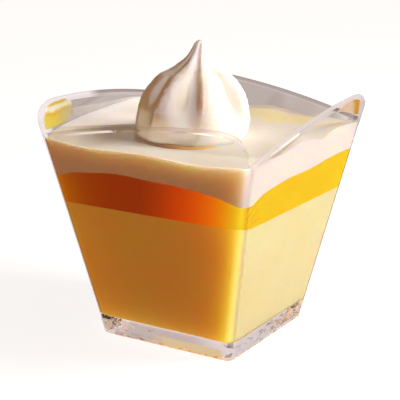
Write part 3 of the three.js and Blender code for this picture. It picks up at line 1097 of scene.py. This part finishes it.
def floor_material():
    """A pale floor that keeps a soft shadow."""
    material, nodes, surface = new_material("Pale floor", glow=FLOOR_GLOW)
    tint = bpy.context.scene.dessert_studio.backdrop
    shade = tinted(tint, 0.25, 0.25, 0.25)
    base = nodes.mix(nodes.mottle(400, 5)[0], shade, tinted(shade, 0.97, 0.97, 0.97))
    nodes.set(surface, Base_Color=base, Roughness=0.9, Emission_Color=tint)
    return material


# Operators: one for each piece or group of like pieces.


class DESSERT_OT_cup(bpy.types.Operator):
    """Build the flared clear cup with its wavy rim"""

    bl_idname = "dessert.cup"
    bl_label = "Cup"

    def execute(self, context):
        cup = context.scene.dessert_cup
        stations = make_stations()
        hollow = cup.foot_half - cup.foot_ring
        floor_top = cup.floor + cup.fillet
        drops = (HOLD, *RIM_DROPS)
        rings = [
            square_ring(stations, hollow - cup.recess, cup.corner - cup.chamfer, cup.recess),
            square_ring(stations, hollow, cup.corner - cup.chamfer, 0),
            square_ring(stations, cup.foot_half - cup.chamfer, cup.corner - cup.chamfer, 0),
            square_ring(stations, outer_half(cup.chamfer), cup.corner, cup.chamfer),
            square_ring(stations, outer_half(cup.chamfer + HOLD), cup.corner, cup.chamfer + HOLD),
            *(wall_ring(stations, drop, inside=False) for drop in reversed(drops)),
            *rim_rings(stations),
            *(wall_ring(stations, drop, inside=True) for drop in drops),
            square_ring(stations, inner_half(floor_top + HOLD), cup.inner_corner, floor_top + HOLD),
            *reversed(fillet_rings(stations)),
        ]
        far = 2 * drops[-1]
        below = [far] * 5 + [*reversed(drops)] + [0.0] * (RIM_STEPS + 1) + [*drops]
        below += [far] * (len(rings) - len(below))
        piece = loft("cup_shell", rings, close_end=False, mark="below_rim", marks=below)
        finish_piece(piece, cup_material(), "clear_cup", "cup")
        return {"FINISHED"}


class DESSERT_OT_filling(bpy.types.Operator):
    """Build the three layers that fill the cup"""

    bl_idname = "dessert.filling"
    bl_label = "Filling"

    def execute(self, context):
        filling = context.scene.dessert_filling
        stations = make_stations()
        seam = filling.seam / 2
        into = filling.into_wall

        def layer(name, below, above, clear_above):
            lower = edge_ring(stations, below, seam, into)
            upper = edge_ring(stations, above, -clear_above, into)
            rings = [
                *reversed(surface_rings(lower, below, seam)),
                *wall_rings(lower, upper),
                *surface_rings(upper, above, -clear_above),
            ]
            return loft(name, rings)

        upper = edge_ring(stations, jelly_bottom, -seam, into)
        floor_up = fillet_rings(stations, into)
        sides = wall_rings(floor_up[-1], upper)[1:]
        bottom = loft("yellow_layer", [*floor_up, *sides, *surface_rings(upper, jelly_bottom, -seam)])
        mark_depth(bottom, above=jelly_bottom)
        mark_below(bottom, jelly_bottom)
        finish_piece(bottom, yellow_material(), "yellow_cream", "yellow_panna_cotta")
        jelly = layer("jelly_layer", jelly_bottom, jelly_top, seam)
        mark_depth(jelly, below=jelly_bottom, above=jelly_top)
        finish_piece(jelly, jelly_material(), "orange_jelly", "fruit_jelly")
        cream = layer("white_layer", jelly_top, cream_top, 0)
        mark_depth(cream, below=jelly_top)
        mark_below(cream, cream_top)
        finish_piece(cream, cream_material(), "white_cream", "white_panna_cotta")
        return {"FINISHED"}


class DESSERT_OT_kiss(bpy.types.Operator):
    """Build the piped meringue with its flutes and leaning tip"""

    bl_idname = "dessert.kiss"
    bl_label = "Meringue Kiss"

    def execute(self, context):
        kiss = context.scene.dessert_kiss
        base = context.scene.dessert_filling.fill_level + KISS_LIFT
        tip = KISS_OUTLINE[-1][1] * MM
        count = kiss.flutes * FLUTE_STEPS
        rings = []
        for step in range(KISS_STEPS):
            radius, height = kiss_outline(step / KISS_STEPS)
            up = height / tip
            lean = max(0, (up - kiss.lean_start) / (1 - kiss.lean_start))
            fluted = smooth_step(up, kiss.flute_start, kiss.flute_full)
            depth = kiss.foot_depth + (kiss.depth - kiss.foot_depth) * fluted
            turn = kiss.first_crest + kiss.twist * up**TWIST_POWER
            spread = 1 - smooth_step(up, 0, FOOT_TOP)
            centre = [kiss.centre[i] + kiss.lean[i] * lean + kiss.foot_shift[i] * spread for i in (0, 1)]
            ring = []
            for number in range(count):
                across = (number % FLUTE_STEPS) / FLUTE_STEPS
                wave = math.sin(math.pi * across**kiss.valley)
                flute = math.hypot(wave, CREST_ROUND) - CREST_ROUND
                flute /= math.hypot(1, CREST_ROUND) - CREST_ROUND
                reach = radius * (1 - depth * flute)
                way = turn + 2 * math.pi * number / count
                x, y = centre[0] + reach * math.cos(way), centre[1] + reach * math.sin(way)
                place = Vector((x, y, base + height))
                ring.append(place + piping_wobble(place, way, up, wave))
            rings.append(ring)
        rings[0] = [Vector((p.x, p.y, base - kiss.sink)) for p in rings[0]]
        finish_piece(loft("meringue", rings), meringue_material(), "meringue", "meringue_kiss")
        return {"FINISHED"}


def wall_film(name, side, outline, material, slot):
    """A thin sheet that carries a painted reflection, with a round edge inside the left or the right wall,
    and round its corners.
    """
    loop = smooth_loop([(y * MM, z * MM) for y, z in outline], FILM_STEPS)
    if side > 0:
        loop.reverse()
    middle = sum(loop, Vector((0, 0))) / len(loop)
    rings = []
    for share, lift in FILM_RINGS:
        ring = []
        for point in loop:
            y, z = middle + (point - middle) * share
            radius = bpy.context.scene.dessert_cup.inner_corner - lift * MM
            flat = inner_half(z) - lift * MM - radius
            past = min(max(0, abs(y) - flat), radius)
            ring.append(Vector((side * (flat + math.sqrt(radius**2 - past**2)), y, z)))
        rings.append(ring)
    finish_piece(loft(name, rings), material, slot)


class DESSERT_OT_painted_reflections(bpy.types.Operator):
    """Build the thin sheets on the left and right walls that carry painted reflections of the jelly and the
    cream
    """

    bl_idname = "dessert.smears"
    bl_label = "Painted Reflections"

    def execute(self, context):
        left = film_material("Left painted reflection", left_look)
        right = film_material("Right painted reflection", right_look)
        cream = film_material("Cream painted reflection", cream_look)
        wall_film("jelly_reflection_left", -1, LEFT_FILM, left, "orange_jelly")
        wall_film("jelly_reflection_right", 1, RIGHT_FILM, right, "orange_jelly")
        wall_film("cream_reflection", -1, CREAM_FILM, cream, "white_cream")
        return {"FINISHED"}


class DESSERT_OT_syrup(bpy.types.Operator):
    """Build the thread of syrup at the front of the meringue's foot, which also stands in for the amber
    contact shade there
    """

    bl_idname = "dessert.syrup"
    bl_label = "Syrup"

    def execute(self, context):
        kiss = context.scene.dessert_kiss
        foot = KISS_OUTLINE[0][0] * MM
        centre = Vector((kiss.centre[0] + kiss.foot_shift[0], kiss.centre[1] + kiss.foot_shift[1]))
        rings = []
        for step in range(SYRUP_STEPS + 1):
            share = step / SYRUP_STEPS
            way = SYRUP_START + (SYRUP_END - SYRUP_START) * share
            swell = math.sin(math.pi * share) ** SYRUP_SWELL
            swell *= 1 + SYRUP_WAVER * noise.noise(Vector((share * SYRUP_WAVES, 0, 0)))
            out = Vector((math.cos(way), math.sin(way)))
            thick = SYRUP_THIN + SYRUP_HEIGHT * swell
            wide = SYRUP_THIN + SYRUP_WIDTH * swell
            ring = []
            for number in range(BEAD_STEPS):
                angle = 2 * math.pi * number / BEAD_STEPS
                x, y = centre + out * (foot + SYRUP_OFFSET + wide * math.cos(angle))
                ring.append(Vector((x, y, cream_top(x, y) + thick * math.sin(angle))))
            rings.append(ring)
        finish_piece(loft("syrup_thread", rings), syrup_material(), "orange_jelly")
        return {"FINISHED"}


class DESSERT_OT_stage(bpy.types.Operator):
    """Build the pale floor, the soft light, the surroundings and the camera"""

    bl_idname = "dessert.stage"
    bl_label = "Stage"

    def execute(self, context):
        bpy.ops.object.select_all(action="DESELECT")
        bpy.ops.mesh.primitive_plane_add(size=FLOOR_SIZE)
        floor = context.object
        floor.name = "floor"
        floor.data.materials.append(floor_material())
        floor.visible_diffuse = False
        floor.visible_transmission = False
        floor.visible_glossy = False
        studio = context.scene.dessert_studio
        add_softbox("key", KEY_AZIMUTH, KEY_ELEVATION, studio.key_power, studio.key_tint)
        add_softbox("side", SIDE_AZIMUTH, SIDE_ELEVATION, studio.side_power, studio.key_tint)
        build_surroundings(context.scene)
        place_camera(context.scene)
        context.scene.view_settings.view_transform = "Standard"
        return {"FINISHED"}


def direction(azimuth, elevation):
    """The way out to a place round the object: azimuth 0 is in front, and 90 degrees is to the right."""
    flat = math.cos(elevation)
    return Vector((math.sin(azimuth) * flat, -math.cos(azimuth) * flat, math.sin(elevation)))


def add_softbox(name, azimuth, elevation, power, tint):
    """A square soft light that faces the dessert."""
    out = direction(azimuth, elevation)
    bpy.ops.object.light_add(type="AREA", location=TARGET + out * LIGHT_DISTANCE)
    light = bpy.context.object
    light.name = name
    light.rotation_euler = out.to_track_quat("Z", "Y").to_euler()
    light.data.shape = "SQUARE"
    light.data.size = LIGHT_SIZE
    light.data.energy = power
    light.data.color = tint


def build_surroundings(scene):
    """A pale backdrop, a warm dim light in the shade, and a soft grey surround in and behind the cup."""
    studio = scene.dessert_studio
    world = bpy.data.worlds.new("Studio")
    world.use_nodes = True
    scene.world = world
    nodes = Nodes(world.node_tree)
    nodes.tree.nodes.clear()
    path = nodes.add("LightPath").outputs
    way = nodes.add("TexCoord").outputs["Generated"]
    height = nodes.split(way)["Z"]
    ahead = nodes.vector("DOT_PRODUCT", way, -direction(CAMERA_AZIMUTH, 0))
    aside = nodes.vector("DOT_PRODUCT", way, direction(CAMERA_AZIMUTH + QUARTER, 0))
    card = nodes.times(
        nodes.ramp(ahead, 0.5, 0.6),
        nodes.ramp(height, -0.27, -0.255),
        nodes.ramp(height, -0.12, -0.16),
        nodes.ramp(aside, -0.17, -0.15),
        nodes.ramp(aside, 0.105, 0.09),
    )
    surround = nodes.mix(card, studio.surround, studio.card)
    mirrored = nodes.mix(nodes.ramp(height, -0.05, 0.3), studio.mirrored, studio.mirrored_level)
    mirrored = nodes.mix(nodes.ramp(ahead, 0.7, 0.85), mirrored, studio.surround)
    clear = nodes.mix(path["Is Transmission Ray"], mirrored, surround)
    ambient = nodes.mix(nodes.ramp(height, -0.35, 0.5), studio.ambient_low, studio.ambient_high)
    lights = nodes.mix(nodes.math("GREATER_THAN", path["Diffuse Depth"], 0.5), clear, ambient)
    seen = nodes.mix(path["Is Camera Ray"], lights, studio.backdrop)
    back = nodes.set(nodes.add("Background"), Color=seen)
    nodes.set(nodes.add("OutputWorld"), Surface=back.outputs["Background"])


def place_camera(scene):
    """A long lens at the front right corner, aimed so that the image needs no shift."""
    back = direction(CAMERA_AZIMUTH, CAMERA_ELEVATION)
    level = Vector((math.cos(CAMERA_AZIMUTH), math.sin(CAMERA_AZIMUTH), 0))
    upright = back.cross(level)
    right = math.cos(CAMERA_ROLL) * level + math.sin(CAMERA_ROLL) * upright
    up = math.cos(CAMERA_ROLL) * upright - math.sin(CAMERA_ROLL) * level
    across = right * (IMAGE_WIDTH / 2 - TARGET_PIXEL[0]) / FOCAL_PIXELS
    down = up * (IMAGE_WIDTH / 2 - TARGET_PIXEL[1]) / FOCAL_PIXELS
    aim = (across - back - down).normalized()
    side = (right - aim * right.dot(aim)).normalized()
    bpy.ops.object.camera_add(location=TARGET + back * CAMERA_DISTANCE)
    camera = bpy.context.object
    camera.name = "camera"
    camera.rotation_euler = Matrix((side, side.cross(aim), -aim)).transposed().to_euler()
    camera.data.sensor_width = SENSOR_WIDTH
    camera.data.lens = SENSOR_WIDTH * FOCAL_PIXELS / IMAGE_WIDTH
    camera.data.clip_start = CLIP_START
    scene.camera = camera


class DESSERT_PT_sidebar(bpy.types.Panel):
    """Lists the pieces of the dessert"""

    bl_idname = "DESSERT_PT_sidebar"
    bl_label = "Panna Cotta"
    bl_space_type = "VIEW_3D"
    bl_region_type = "UI"
    bl_category = "Dessert"

    def draw(self, context):
        for operator in OPERATORS:
            self.layout.operator(operator.bl_idname)
        for name in SETTINGS:
            group = getattr(context.scene, name)
            for prop in group.__annotations__:
                self.layout.prop(group, prop)


OPERATORS = (
    DESSERT_OT_cup,
    DESSERT_OT_filling,
    DESSERT_OT_kiss,
    DESSERT_OT_syrup,
    DESSERT_OT_painted_reflections,
    DESSERT_OT_stage,
)
SETTINGS = {
    "dessert_cup": CupSizes,
    "dessert_filling": FillingSizes,
    "dessert_kiss": KissSizes,
    "dessert_finish": FinishColours,
    "dessert_studio": StudioSettings,
}
CLASSES = (*SETTINGS.values(), *OPERATORS, DESSERT_PT_sidebar)


def register():
    for cls in CLASSES:
        bpy.utils.register_class(cls)
    for name, group in SETTINGS.items():
        setattr(bpy.types.Scene, name, PointerProperty(type=group))


def unregister():
    for name in SETTINGS:
        delattr(bpy.types.Scene, name)
    for cls in reversed(CLASSES):
        bpy.utils.unregister_class(cls)


def main():
    register()
    bpy.ops.dessert.cup()
    bpy.ops.dessert.filling()
    bpy.ops.dessert.kiss()
    bpy.ops.dessert.syrup()
    # Thin sheets on the walls that carry painted reflections.
    bpy.ops.dessert.smears()
    bpy.ops.dessert.stage()


if __name__ == "__main__":
    main()
